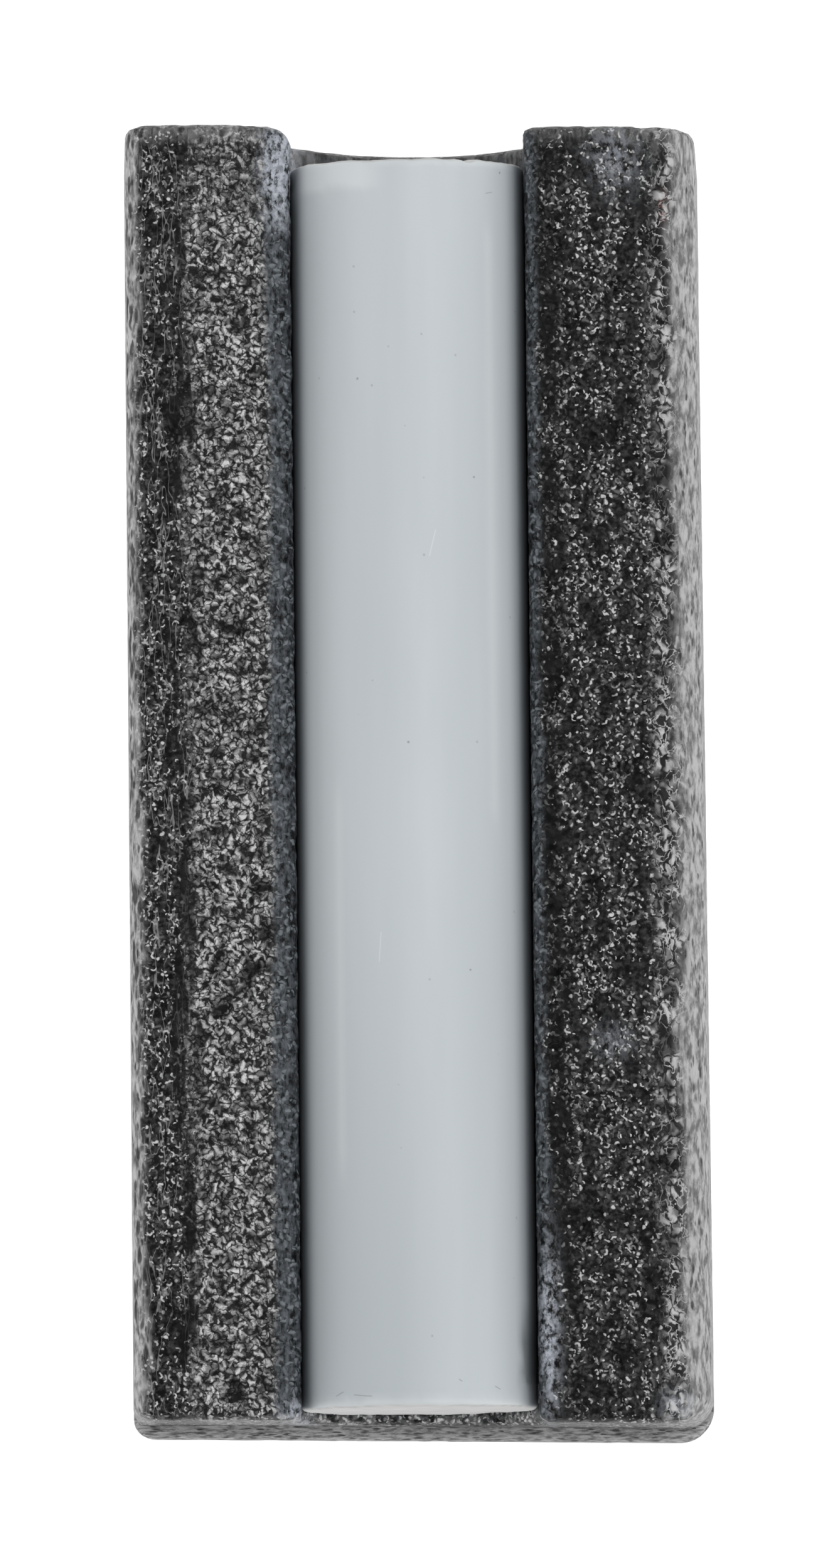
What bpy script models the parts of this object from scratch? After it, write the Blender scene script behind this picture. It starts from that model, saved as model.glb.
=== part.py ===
"""Chalkboard eraser, modelled in Blender: a foam block with an open lengthwise groove is bonded to
a wiping pad, and a round rod, the grip, lies in the groove and is held by the foam around it.

The frame is metres with +Z up. The origin is at the middle of the pad's wiping face, +Y runs along
the rod, and +X points to the right rail.
"""

import math

import bmesh
import bpy

# Driving dimensions, in metres.
BLOCK_LENGTH = 0.122
BLOCK_TOP = 0.027  # top of the rails above the wiping face
TOP_WIDTH = 0.054  # across both rails at their top
FOOT_WIDTH = 0.0556  # across both rails where they meet the pad
ROD_DIAMETER = 0.0222
ROD_LENGTH = 0.1175
ROD_SETBACK = 0.001  # how far the rod's middle lies from the block's, towards the -Y end
PAD_THICKNESS = 0.004
PAD_NEAR_MARGIN = 0.0011  # how far the pad reaches past the block at the -Y end
PAD_FAR_MARGIN = 0.0004  # and at the +Y end
GROOVE_FLOOR = 0.009  # lowest line of the groove above the wiping face
GROOVE_RISE = 0.0065  # how much higher the hollow floor is where it meets the groove's walls

# Fits and bonds.
ROD_CLEARANCE = 0.0003
FILM_THICKNESS = 0.0002
FILM_GAP = 0.0003  # from the adhesive film to the foam above it and the pad below it
FILM_INSET = 0.0015  # how far the film's edges stay inside the joint

# Edge radii.
LEFT_TOP_RADIUS = 0.0016  # the rails' outer top edges
RIGHT_TOP_RADIUS = 0.003
MOUTH_RADIUS = 0.0014  # the groove's upper edges
END_TOP_RADIUS = 0.0011
BLOCK_CORNER_RADIUS = 0.0018
PAD_CORNER_RADIUS = 0.0024
PAD_EDGE_RADIUS = 0.0006
ROD_EDGE_RADIUS = 0.0006

BEVEL_SEGMENTS = 4
ROUND_SEGMENTS = 64
FLOOR_STEPS = 20
MOUTH_STEPS = 6
MOUTH_OVERSHOOT = 0.00005  # keeps the end of the groove's rounded mouth out of the top's plane
CUT_MARGIN = 0.005  # how far the cutter reaches past the block's faces
WELD_DISTANCE = 0.00001
SMOOTH_ANGLE = math.radians(35)

# Worked out from the above.
PAD_LENGTH = BLOCK_LENGTH + PAD_NEAR_MARGIN + PAD_FAR_MARGIN
BLOCK_MIDDLE = (PAD_NEAR_MARGIN - PAD_FAR_MARGIN) / 2  # the block's middle along Y
BLOCK_FOOT = PAD_THICKNESS + FILM_THICKNESS + 2 * FILM_GAP
ROD_RADIUS = ROD_DIAMETER / 2
ROD_MIDDLE = BLOCK_MIDDLE - ROD_SETBACK
ROD_AXIS_HEIGHT = GROOVE_FLOOR + ROD_CLEARANCE + ROD_RADIUS
GROOVE_HALF_WIDTH = ROD_RADIUS + ROD_CLEARANCE
FLOOR_RADIUS = (GROOVE_HALF_WIDTH**2 + GROOVE_RISE**2) / (2 * GROOVE_RISE)

FOAM_COLOUR = (0.035, 0.036, 0.037)
PAD_COLOUR = (0.12, 0.12, 0.118)
ROD_COLOUR = (0.52, 0.55, 0.57)
FILM_COLOUR = (0.62, 0.60, 0.52)


def clear_scene():
    for obj in list(bpy.data.objects):
        bpy.data.objects.remove(obj)


def new_collection(name):
    collection = bpy.data.collections.new(name)
    bpy.context.scene.collection.children.link(collection)
    return collection


def move_to(obj, collection):
    for old in list(obj.users_collection):
        old.objects.unlink(obj)
    collection.objects.link(obj)


def material(name, colour, roughness, metallic=0.0):
    made = bpy.data.materials.new(name)
    made.use_nodes = True
    shader = made.node_tree.nodes["Principled BSDF"]
    shader.inputs["Base Color"].default_value = (*colour, 1.0)
    shader.inputs["Roughness"].default_value = roughness
    shader.inputs["Metallic"].default_value = metallic
    return made


def box(name, size, location):
    """A cube primitive with its mesh scaled to size, so that the object keeps a scale of 1."""
    bpy.ops.mesh.primitive_cube_add(size=1, location=location)
    obj = bpy.context.active_object
    obj.name = name
    for vertex in obj.data.vertices:
        for axis in range(3):
            vertex.co[axis] *= size[axis]
    return obj


def round_edges(obj, radius_of_edge):
    """Rounds each edge by the radius that radius_of_edge(middle, direction) gives for it."""
    mesh = obj.data
    radii = []
    for edge in mesh.edges:
        start, end = (mesh.vertices[i].co for i in edge.vertices)
        radii.append(radius_of_edge((start + end) / 2, (end - start).normalized()))
    widest = max(radii)
    weights = mesh.attributes.new("bevel_weight_edge", "FLOAT", "EDGE")
    weights.data.foreach_set("value", [radius / widest for radius in radii])
    bevel = obj.modifiers.new("Rounded edges", "BEVEL")
    bevel.limit_method = "WEIGHT"
    bevel.width = widest
    bevel.segments = BEVEL_SEGMENTS


def is_along(direction, axis):
    return abs(direction[axis]) > 0.9


def groove_outline():
    """The groove's section in X and Z: a hollow floor, upright walls and a rounded mouth."""
    half = []
    reach = math.asin(GROOVE_HALF_WIDTH / FLOOR_RADIUS)
    for step in range(FLOOR_STEPS + 1):
        angle = reach * step / FLOOR_STEPS
        height = GROOVE_FLOOR + FLOOR_RADIUS * (1 - math.cos(angle))
        half.append((FLOOR_RADIUS * math.sin(angle), height))
    for step in range(MOUTH_STEPS + 1):
        angle = math.pi / 2 * step / MOUTH_STEPS
        across = GROOVE_HALF_WIDTH + MOUTH_RADIUS * (1 - math.cos(angle))
        rise = (MOUTH_RADIUS + MOUTH_OVERSHOOT) * math.sin(angle)
        half.append((across, BLOCK_TOP - MOUTH_RADIUS + rise))
    half.append((GROOVE_HALF_WIDTH + MOUTH_RADIUS, BLOCK_TOP + CUT_MARGIN))
    mirrored = [(-x, z) for x, z in reversed(half[1:])]
    return half + mirrored


def make_groove_cutter(cutters):
    """The groove's outline, filled and extruded along Y, then made a mesh that can cut."""
    outline = groove_outline()
    curve = bpy.data.curves.new("groove_outline", "CURVE")
    curve.dimensions = "2D"
    curve.fill_mode = "BOTH"
    curve.extrude = BLOCK_LENGTH / 2 + CUT_MARGIN
    spline = curve.splines.new("POLY")
    spline.points.add(len(outline) - 1)
    for point, (x, z) in zip(spline.points, outline):
        point.co = (x, z, 0, 1)
    spline.use_cyclic_u = True
    drawn = bpy.data.objects.new("groove_outline", curve)
    drawn.rotation_euler.x = math.radians(90)
    drawn.location.y = BLOCK_MIDDLE
    cutters.objects.link(drawn)
    bpy.context.view_layer.update()
    evaluated = drawn.evaluated_get(bpy.context.evaluated_depsgraph_get())
    mesh = bpy.data.meshes.new_from_object(evaluated)
    welded = bmesh.new()
    welded.from_mesh(mesh)
    bmesh.ops.remove_doubles(welded, verts=welded.verts, dist=WELD_DISTANCE)
    bmesh.ops.recalc_face_normals(welded, faces=welded.faces)
    welded.to_mesh(mesh)
    welded.free()
    cutter = bpy.data.objects.new("groove_cutter", mesh)
    cutter.matrix_world = drawn.matrix_world
    cutter.hide_render = True
    cutter.display_type = "WIRE"
    cutters.objects.link(cutter)
    bpy.data.objects.remove(drawn)
    return cutter


def make_block(collection, cutters, foam):
    """The foam block. Its sides lean in towards the top, and the groove leaves a rail on each side."""
    height = BLOCK_TOP - BLOCK_FOOT
    middle = (0, BLOCK_MIDDLE, BLOCK_FOOT + height / 2)
    block = box("foam_channel", (FOOT_WIDTH, BLOCK_LENGTH, height), middle)
    for vertex in block.data.vertices:
        if vertex.co.z > 0:
            vertex.co.x *= TOP_WIDTH / FOOT_WIDTH

    def radius(point, direction):
        if point.z < 0 and not is_along(direction, 2):
            return 0.0
        if is_along(direction, 1):
            return RIGHT_TOP_RADIUS if point.x > 0 else LEFT_TOP_RADIUS
        return END_TOP_RADIUS if is_along(direction, 0) else BLOCK_CORNER_RADIUS

    round_edges(block, radius)
    groove = block.modifiers.new("Groove", "BOOLEAN")
    groove.operation = "DIFFERENCE"
    groove.object = make_groove_cutter(cutters)
    move_to(block, collection)
    block.data.materials.append(foam)
    return block


def make_pad(collection, pad_material):
    """The wiping pad under the whole block, a little longer than the block."""
    size = (FOOT_WIDTH, PAD_LENGTH, PAD_THICKNESS)
    pad = box("wiping_pad", size, (0, 0, PAD_THICKNESS / 2))

    def radius(point, direction):
        if is_along(direction, 2):
            return PAD_CORNER_RADIUS
        return PAD_EDGE_RADIUS if point.z > 0 else 0.0

    round_edges(pad, radius)
    move_to(pad, collection)
    pad.data.materials.append(pad_material)
    return pad


def make_film(collection, film_material):
    """The adhesive film that bonds the block to the pad."""
    size = (FOOT_WIDTH - 2 * FILM_INSET, BLOCK_LENGTH - 2 * FILM_INSET, FILM_THICKNESS)
    height = PAD_THICKNESS + FILM_GAP + FILM_THICKNESS / 2
    film = box("pad_adhesive", size, (0, BLOCK_MIDDLE, height))
    move_to(film, collection)
    film.data.materials.append(film_material)
    return film


def make_rod(collection, rod_material):
    """The rod in the groove, with its origin on its own axis, along which it slides."""
    bpy.ops.mesh.primitive_cylinder_add(
        vertices=ROUND_SEGMENTS,
        radius=ROD_RADIUS,
        depth=ROD_LENGTH,
        location=(0, ROD_MIDDLE, ROD_AXIS_HEIGHT),
        rotation=(math.radians(90), 0, 0),
    )
    rod = bpy.context.active_object
    rod.name = "grip_rod"
    edges = rod.modifiers.new("Broken end edges", "BEVEL")
    edges.limit_method = "ANGLE"
    edges.width = ROD_EDGE_RADIUS
    edges.segments = 2
    rod.data.shade_smooth()
    rod.data.set_sharp_from_angle(angle=SMOOTH_ANGLE)
    move_to(rod, collection)
    rod.data.materials.append(rod_material)
    return rod


def main():
    clear_scene()
    eraser = new_collection("Chalkboard eraser")
    cutters = new_collection("Cutters")
    cutters.hide_render = True
    make_pad(eraser, material("Grey pad", PAD_COLOUR, roughness=0.9))
    make_film(eraser, material("Adhesive film", FILM_COLOUR, roughness=0.4))
    make_block(eraser, cutters, material("Black foam", FOAM_COLOUR, roughness=0.55))
    make_rod(eraser, material("Pale grey plastic", ROD_COLOUR, roughness=0.4))


main()
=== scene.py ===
"""The looks of the chalkboard eraser: coarse closed-cell foam, a satin plastic rod and a wiping pad.

Lengths named _MM, and all the shaping in numpy, are in millimetres; objects are in metres.
"""
import math

import bpy
import numpy as np
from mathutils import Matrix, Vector
from mathutils.geometry import delaunay_2d_cdt


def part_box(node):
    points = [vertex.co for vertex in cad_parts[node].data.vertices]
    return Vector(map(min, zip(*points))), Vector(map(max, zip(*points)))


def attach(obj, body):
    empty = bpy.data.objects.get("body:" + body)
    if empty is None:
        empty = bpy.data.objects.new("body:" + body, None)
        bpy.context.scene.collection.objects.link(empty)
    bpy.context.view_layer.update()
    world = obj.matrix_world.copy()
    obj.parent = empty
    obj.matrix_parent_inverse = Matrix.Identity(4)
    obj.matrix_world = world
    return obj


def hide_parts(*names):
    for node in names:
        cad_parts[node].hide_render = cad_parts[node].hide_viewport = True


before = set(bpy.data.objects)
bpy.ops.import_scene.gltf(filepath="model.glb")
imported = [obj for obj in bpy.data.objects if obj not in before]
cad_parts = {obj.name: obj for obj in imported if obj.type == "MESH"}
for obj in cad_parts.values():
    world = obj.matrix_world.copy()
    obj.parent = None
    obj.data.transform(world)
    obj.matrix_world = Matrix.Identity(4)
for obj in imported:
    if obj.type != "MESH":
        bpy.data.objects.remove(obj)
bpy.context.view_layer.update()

MM = 0.001
BODY = "eraser_body"
ROD = "rod"

# Foam block.
BOND_DROP_MM = 0.75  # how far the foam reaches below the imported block, down to the pad
FOOT_CHAMFER_MM = 0.4

# Each side of the block: how far it leans in from foot to top, the radius of its outer top edge, the
# radius of the groove's mouth, and how far that mouth reaches in over the rod.
LEFT_SIDE_MM = {"lean": 1.2, "outer": 1.7, "mouth": 1.3, "overhang": 0.35}
RIGHT_SIDE_MM = {"lean": 0.4, "outer": 3.2, "mouth": 0.9, "overhang": 0.05}
CROWN_MM = 0.6  # how much higher the middle of a rail is than its edges
WALL_GAP_MM = 0.15  # between the rod and the groove's walls
FLOOR_GAP_MM = 0.3  # between the rod and the groove's floor
FLOOR_RISE_MM = 6.5  # how much higher the hollow floor is where it meets the groove's walls
END_RADIUS_MM = 0.8  # rounding of the edges at the block's two ends, but not underneath
FAR_REACH_MM = 0.35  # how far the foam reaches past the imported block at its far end
NEAR_REACH_MM = 0.2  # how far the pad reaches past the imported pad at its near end
PINCH_MM = 0.1  # how far the walls come in beyond the rod's far end
OFF_SQUARE = 0.018  # how far the ends are cut off square, per unit of width

# Spacing of the block's points along it, and round its section and its ends.
STATION_MM = 0.36
SIDE_STEP_MM = 0.55
TOP_STEP_MM = 0.33
GROOVE_STEP_MM = 0.9
UNDER_STEP_MM = 4.0
CAP_STEP_MM = 0.5
CAP_JITTER_MM = 0.12

# Plan corners: side of the block (-1 is left), end (-1 is near), radius.
CORNERS_MM = ((1, -1, 3.0), (1, 1, 1.4), (-1, -1, 1.5), (-1, 1, 1.3))
INNER_CORNERS_MM = ((1, -1, 0.9), (1, 1, 0.9), (-1, -1, 1.0), (-1, 1, 2.2))

# The foam's relief: its open cells, larger voids, flecks in its outer skin, and grain.
CELL_MM = 1.35
CELL_DEPTH_MM = 0.36
VOID_MM = 3.6
VOID_DEPTH_MM = 0.6
SKIN_FLECK_MM = 0.8
SKIN_FLECK_DEPTH_MM = 0.13
LIP_DEPTH_MM = 0.08  # depth of the cells on the smoother lips beside the rod
GRAIN_MM = 0.7
GRAIN_HEIGHT_MM = 0.2

# Pad.
PAD_CHAMFER_MM = 0.25
PAD_EDGE_RADIUS_MM = 0.5
PAD_LEVEL_MM = 0.42  # spacing of the pad's rings up its edge
PAD_STEP_MM = 0.45  # spacing of its points round its plan
PAD_CORNER_EXTRA_MM = 0.3  # how much rounder its plan corners are than the block's
PAD_FLECK_MM = 0.75
PAD_FLECK_DEPTH_MM = 0.16
PAD_RIPPLE_MM = 0.1
PAD_FLECK_COLOUR = (0.035, 0.032, 0.031, 1)

# Rod, and its pale streaks: middle in X, and where they start and end along Y.
ROD_EDGE_RADIUS_MM = 0.45
ROD_SIDES = 180
ROD_STATION_MM = 2.0
ROD_STREAKS_MM = ((-6.8, -36.0, -3.0), (7.8, -3.0, 50.0))
ROD_STREAK_WIDTH_MM = 0.4

# The rod's plastic: two tones of its cloudy base, then its darker near left part, where it is pale,
# the painted shade down its flanks beside the foam, the painted shadow on its right edge near its
# near end, its specks, and two tones of its sawn ends.
ROD_DARKER = (0.465, 0.502, 0.523, 1)
ROD_LIGHTER = (0.50, 0.537, 0.558, 1)
ROD_NEAR_LEFT_DARK = (0.40, 0.435, 0.455, 1)
ROD_PALE = (0.70, 0.73, 0.74, 1)
ROD_GAP_SHADE = (0.10, 0.12, 0.15, 1)
ROD_PAINTED_SHADOW = (0.05, 0.055, 0.06, 1)
ROD_SPECK = (0.08, 0.08, 0.09, 1)
SAWN_DARKER = (0.42, 0.425, 0.42, 1)
SAWN_LIGHTER = (0.54, 0.545, 0.54, 1)

# Chalk dust on the rails: middle in X and Y, half width, half length, strength.
DUST_MM = ((-12.0, 57.2, 1.4, 4.6, 2.2), (12.3, -52.0, 0.9, 7.5, 1.3), (19.8, 58.6, 2.4, 3.2, 0.5),
           (18.5, -25.0, 1.9, 1.6, 0.4), (24.0, -58.8, 1.8, 1.4, 0.4), (-11.6, -59.8, 1.3, 1.1, 1.0))
DUST_COLOUR = (0.43, 0.455, 0.51, 1.0)
RED_MARK_MM = (24.3, 53.9, 0.35, 1.3, 0.6)
RED_COLOUR = (0.30, 0.12, 0.11, 1.0)

# Scratches on the rod's top: both ends in X and Y, and how light they are.
SCRATCHES_MM = (((7.6, 54.8), (8.2, 55.0), 0.15), ((-7.6, -58.3), (-6.9, -57.9), 0.12),
                ((-5.9, -58.2), (-4.2, -58.4), 0.12), ((3.9, -56.9), (4.2, -57.1), 0.08),
                ((7.2, -57.5), (7.7, -57.8), 0.1), ((2.0, 20.0), (2.6, 22.5), 0.7),
                ((-3.1, -18.0), (-2.9, -15.2), 0.7))
SCRATCH_WIDTH_MM = 0.07

# Camera, as fitted to the photo's outline, in metres and radians, and the plane the pad lies on.
CAMERA_PLACE = (0.01866, -0.08135, 0.85)
CAMERA_TURN = (0.09705, 0.02282, -0.01082)
LENS_MM = 202.36
SENSOR_MM = 36.0
FLOOR_DROP = -0.0002  # keeps the floor's plane out of the pad's
FLOOR_HALF = 3.0


# ---------------------------------------------------------------- helpers

def smoothstep(low, high, value):
    t = np.clip((value - low) / (high - low), 0, 1)
    return t * t * (3 - 2 * t)


def new_mesh_object(name, points_mm, faces):
    mesh = bpy.data.meshes.new(name)
    mesh.from_pydata((np.asarray(points_mm) * MM).tolist(), [], faces)
    mesh.validate()
    mesh.update()
    obj = bpy.data.objects.new(name, mesh)
    bpy.context.scene.collection.objects.link(obj)
    return obj


def store(obj, name, values, kind="FLOAT"):
    field = "value" if kind == "FLOAT" else "vector"
    attribute = obj.data.attributes.new(name, kind, "POINT")
    attribute.data.foreach_set(field, np.ascontiguousarray(values, dtype=np.float32).ravel())


def set_points(obj, points):
    """Moves the object's points to these, leaning in plan because the eraser is cut off square."""
    leaning = points.copy()
    leaning[:, 1] -= OFF_SQUARE * points[:, 0]
    obj.data.vertices.foreach_set("co", (leaning * MM).astype(np.float32).ravel())
    obj.data.update()
    obj.data.shade_smooth()


def normals_of(obj):
    count = len(obj.data.vertices)
    normals = np.empty(count * 3, dtype=np.float32)
    obj.data.vertex_normals.foreach_get("vector", normals)
    return normals.reshape(count, 3).astype(float)


def texture_at(points, kind, outputs, **settings):
    """Samples one of Blender's procedural textures at points, through a geometry node tree."""
    mesh = bpy.data.meshes.new("samples")
    mesh.vertices.add(len(points))
    mesh.vertices.foreach_set("co", np.ascontiguousarray(points, dtype=np.float32).ravel())
    obj = bpy.data.objects.new("samples", mesh)
    bpy.context.scene.collection.objects.link(obj)
    tree = bpy.data.node_groups.new("sampler", "GeometryNodeTree")
    tree.interface.new_socket(name="Geometry", in_out="INPUT", socket_type="NodeSocketGeometry")
    tree.interface.new_socket(name="Geometry", in_out="OUTPUT", socket_type="NodeSocketGeometry")
    texture = tree.nodes.new(kind)
    for key, value in settings.items():
        if key in texture.bl_rna.properties:
            setattr(texture, key, value)
        else:
            texture.inputs[key].default_value = value
    tree.links.new(tree.nodes.new("GeometryNodeInputPosition").outputs[0], texture.inputs["Vector"])
    flow = tree.nodes.new("NodeGroupInput").outputs[0]
    for output, data_type in outputs.items():
        keep = tree.nodes.new("GeometryNodeStoreNamedAttribute")
        keep.data_type = data_type
        keep.inputs["Name"].default_value = "sample_" + output
        tree.links.new(flow, keep.inputs["Geometry"])
        tree.links.new(texture.outputs[output], keep.inputs["Value"])
        flow = keep.outputs[0]
    tree.links.new(flow, tree.nodes.new("NodeGroupOutput").inputs[0])
    obj.modifiers.new("sampler", "NODES").node_group = tree
    evaluated = obj.evaluated_get(bpy.context.evaluated_depsgraph_get()).data
    found = []
    for output, data_type in outputs.items():
        wide = data_type == "FLOAT_VECTOR"
        values = np.empty(len(points) * (3 if wide else 1), dtype=np.float32)
        data = evaluated.attributes["sample_" + output].data
        data.foreach_get("vector" if wide else "value", values)
        found.append(values.reshape(len(points), 3) if wide else values)
    bpy.data.objects.remove(obj)
    bpy.data.node_groups.remove(tree)
    bpy.data.meshes.remove(mesh)
    return found


def voronoi_at(points, size):
    """Distance to the nearest cell's centre, in cell sizes, and a random colour for that cell."""
    outputs = {"Distance": "FLOAT", "Color": "FLOAT_VECTOR"}
    distance, colour = texture_at(points, "ShaderNodeTexVoronoi", outputs, Scale=1 / size)
    return distance, colour


def noise_at(points, size, detail=2.0):
    outputs = {"Fac": "FLOAT"}
    return texture_at(points, "ShaderNodeTexNoise", outputs, Scale=1 / size, Detail=detail)[0]


# ---------------------------------------------------------------- foam block

def line(start, end):
    t = np.linspace(0, 1, 200)[:, None]
    return np.array(start) * (1 - t) + np.array(end) * t


def arc(centre, radius, start, end):
    angle = np.radians(np.linspace(start, end, 200))
    return np.stack([centre[0] + radius * np.cos(angle), centre[1] + radius * np.sin(angle)], 1)


def half_section(foot, bottom, top, groove, side):
    """Half of the block's section, from the middle of its underside round to the groove's floor."""
    outer, mouth = side["outer"], side["mouth"]
    lean = math.degrees(math.atan2(side["lean"], top - bottom))
    shoulder = (foot - side["lean"] - outer, top - outer - CROWN_MM)
    side_top = arc(shoulder, outer, lean, 90)
    crown_start, crown_end = side_top[-1][0], groove["half"] - side["overhang"] + mouth
    t = np.linspace(0, 1, 200)
    crown = np.stack([crown_start + (crown_end - crown_start) * t,
                      top - CROWN_MM * (2 * t - 1) ** 2], 1)
    lip = arc((crown_end, top - CROWN_MM - mouth), mouth, 90, 180)
    wall_middle = (groove["half"], groove["middle"])
    wall_foot = (groove["half"], groove["floor"] + groove["rise"])
    reach = math.degrees(math.asin(groove["half"] / groove["radius"]))
    floor = arc((0, groove["floor"] + groove["radius"]), groove["radius"], -90 + reach, -90)
    return [
        (line((0, bottom), (foot - FOOT_CHAMFER_MM, bottom)), UNDER_STEP_MM),
        (line((foot - FOOT_CHAMFER_MM, bottom), (foot, bottom + FOOT_CHAMFER_MM)), SIDE_STEP_MM),
        (line((foot, bottom + FOOT_CHAMFER_MM), side_top[0]), SIDE_STEP_MM),
        (side_top, TOP_STEP_MM),
        (crown, TOP_STEP_MM),
        (lip, TOP_STEP_MM),
        (line(lip[-1], wall_middle), GROOVE_STEP_MM),
        (line(wall_middle, wall_foot), GROOVE_STEP_MM),
        (floor, GROOVE_STEP_MM),
    ]


def resample(pieces):
    """Points along the joined pieces, each piece at its own spacing."""
    points, counts = [pieces[0][0][:1]], [np.zeros(1)]
    for piece, spacing in pieces:
        steps = np.linalg.norm(np.diff(piece, axis=0), axis=1) / spacing
        counts.append(counts[-1][-1] + np.cumsum(steps))
        points.append(piece[1:])
    points, counts = np.concatenate(points), np.concatenate(counts)
    wanted = np.linspace(0, counts[-1], int(round(counts[-1])) + 1)
    return np.stack([np.interp(wanted, counts, points[:, axis]) for axis in (0, 1)], 1)


def foam_section():
    """The block's whole section as a closed outline, and where the block starts and ends along Y."""
    low, high = (np.array(corner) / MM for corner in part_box("foam_channel"))
    rod_low, rod_high = (np.array(corner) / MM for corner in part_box("grip_rod"))
    half = (rod_high[0] - rod_low[0]) / 2 + WALL_GAP_MM
    groove = {"half": half, "middle": (rod_low[2] + rod_high[2]) / 2, "rise": FLOOR_RISE_MM}
    groove["floor"] = rod_low[2] - FLOOR_GAP_MM
    groove["radius"] = (half ** 2 + FLOOR_RISE_MM ** 2) / (2 * FLOOR_RISE_MM)
    foot, bottom, top = high[0], low[2] - BOND_DROP_MM, high[2]
    right, left = (resample(half_section(foot, bottom, top, groove, side))
                   for side in (RIGHT_SIDE_MM, LEFT_SIDE_MM))
    mirrored = left[::-1] * [-1, 1]
    return np.concatenate([right, mirrored[1:-1]]), low[1], high[1] + FAR_REACH_MM


def outline_normals(section):
    along = np.roll(section, -1, axis=0) - np.roll(section, 1, axis=0)
    normal = np.stack([along[:, 1], -along[:, 0]], 1)
    return normal / np.linalg.norm(normal, axis=1)[:, None]


def cap_triangles(loop):
    """Fills a flat outline with triangles on an even grid, and returns the inner points too."""
    low, high = loop.min(0), loop.max(0)
    grid = np.stack(np.meshgrid(np.arange(low[0], high[0], CAP_STEP_MM),
                                np.arange(low[1], high[1], CAP_STEP_MM)), -1).reshape(-1, 2)
    rng = np.random.default_rng(5)
    grid = grid + rng.uniform(-CAP_JITTER_MM, CAP_JITTER_MM, grid.shape)
    start, end = loop, np.roll(loop, -1, axis=0)
    inside = np.zeros(len(grid), dtype=bool)
    near = np.full(len(grid), np.inf)
    for a, b in zip(start, end):
        crosses = (a[1] > grid[:, 1]) != (b[1] > grid[:, 1])
        rise = b[1] - a[1] if b[1] != a[1] else 1e-9
        inside ^= crosses & (grid[:, 0] < (b[0] - a[0]) * (grid[:, 1] - a[1]) / rise + a[0])
        t = np.clip(((grid - a) @ (b - a)) / max((b - a) @ (b - a), 1e-9), 0, 1)
        near = np.minimum(near, np.linalg.norm(grid - a - t[:, None] * (b - a), axis=1))
    grid = grid[inside & (near > CAP_STEP_MM * 0.6)]
    everything = [Vector(p) for p in np.concatenate([loop, grid]).tolist()]
    count = len(loop)
    edges = [(i, (i + 1) % count) for i in range(count)]
    made = delaunay_2d_cdt(everything, edges, [list(range(count))], 1, 1e-7)
    return grid, made[2], len(made[0])


def rounding(depth, radius):
    """How far a corner of this radius has come in at this depth from the end."""
    reach = np.clip(radius - depth, 0, radius)
    return radius - np.sqrt(radius ** 2 - reach ** 2)


def corner_shift(ring, depth, end, corners, weight):
    """How far a plan corner pulls the ring's points sideways, beyond the rounding every end has."""
    shift = np.zeros(len(ring))
    for side, corner_end, radius in corners:
        if corner_end == end:
            extra = max(rounding(depth, radius) - rounding(depth, END_RADIUS_MM), 0)
            shift += extra * side * weight * (ring[:, 0] * side > 0)
    return shift


def ring_at(section, normals, y, near_end, far_end):
    """The section at one place along the block, drawn in at its rounded ends and plan corners.

    The underside isn't drawn in. outer is 1 at the block's sides, and wall is 1 at the groove's walls.
    """
    end = -1 if y - near_end < far_end - y else 1
    depth = min(y - near_end, far_end - y)
    free = section[:, 1] > section[:, 1].min() + 0.5
    ring = section - normals * (rounding(depth, END_RADIUS_MM) * free)[:, None]
    across, height = np.abs(section[:, 0]), section[:, 1]
    outer = smoothstep(17.5, 24.5, across)
    wall = smoothstep(17.0, 12.6, across) * smoothstep(12.0, 16.0, height)
    shift = corner_shift(ring, depth, end, INNER_CORNERS_MM, wall)
    shift -= corner_shift(ring, depth, end, CORNERS_MM, outer)
    rod_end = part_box("grip_rod")[1][1] / MM
    pinch = PINCH_MM * smoothstep(rod_end + 0.4, rod_end + 1.6, y)
    ring[:, 0] += shift - np.sign(section[:, 0]) * pinch * wall
    return np.insert(ring, 1, y, axis=1)


def swept_block():
    """The block's plain surface: the section swept along Y, rounded over at each end and capped."""
    section, near_end, far_end = foam_section()
    normals = outline_normals(section)
    length = far_end - near_end
    count = int(round(length / STATION_MM))
    stations = near_end + length * np.arange(count + 1) / count
    rings = [ring_at(section, normals, y, near_end, far_end) for y in stations]
    size = len(section)
    points = list(np.concatenate(rings))
    faces = []
    for row in range(count):
        for k in range(size):
            a, b = row * size + k, row * size + (k + 1) % size
            faces.append((a, a + size, b + size, b))
    for row, turn in ((0, False), (count, True)):
        loop = rings[row][:, [0, 2]]
        inner, triangles, made = cap_triangles(loop)
        if made != len(loop) + len(inner):
            raise RuntimeError("the cap's triangulation merged points")
        base = len(points)
        points += [np.array([x, stations[row], z]) for x, z in inner]
        for triangle in triangles:
            ids = [row * size + i if i < size else base + i - size for i in triangle]
            faces.append(ids[::-1] if turn else ids)
    return np.array(points), faces


def patches(points, spots):
    """Soft oval patches on the top of the rails."""
    x, y, z = points.T
    total = np.zeros(len(points))
    for middle_x, middle_y, half_x, half_y, strength in spots:
        away = ((x - middle_x) / half_x) ** 2 + ((y - middle_y) / half_y) ** 2
        total = np.maximum(total, strength * np.exp(-1.2 * away))
    return total


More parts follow.
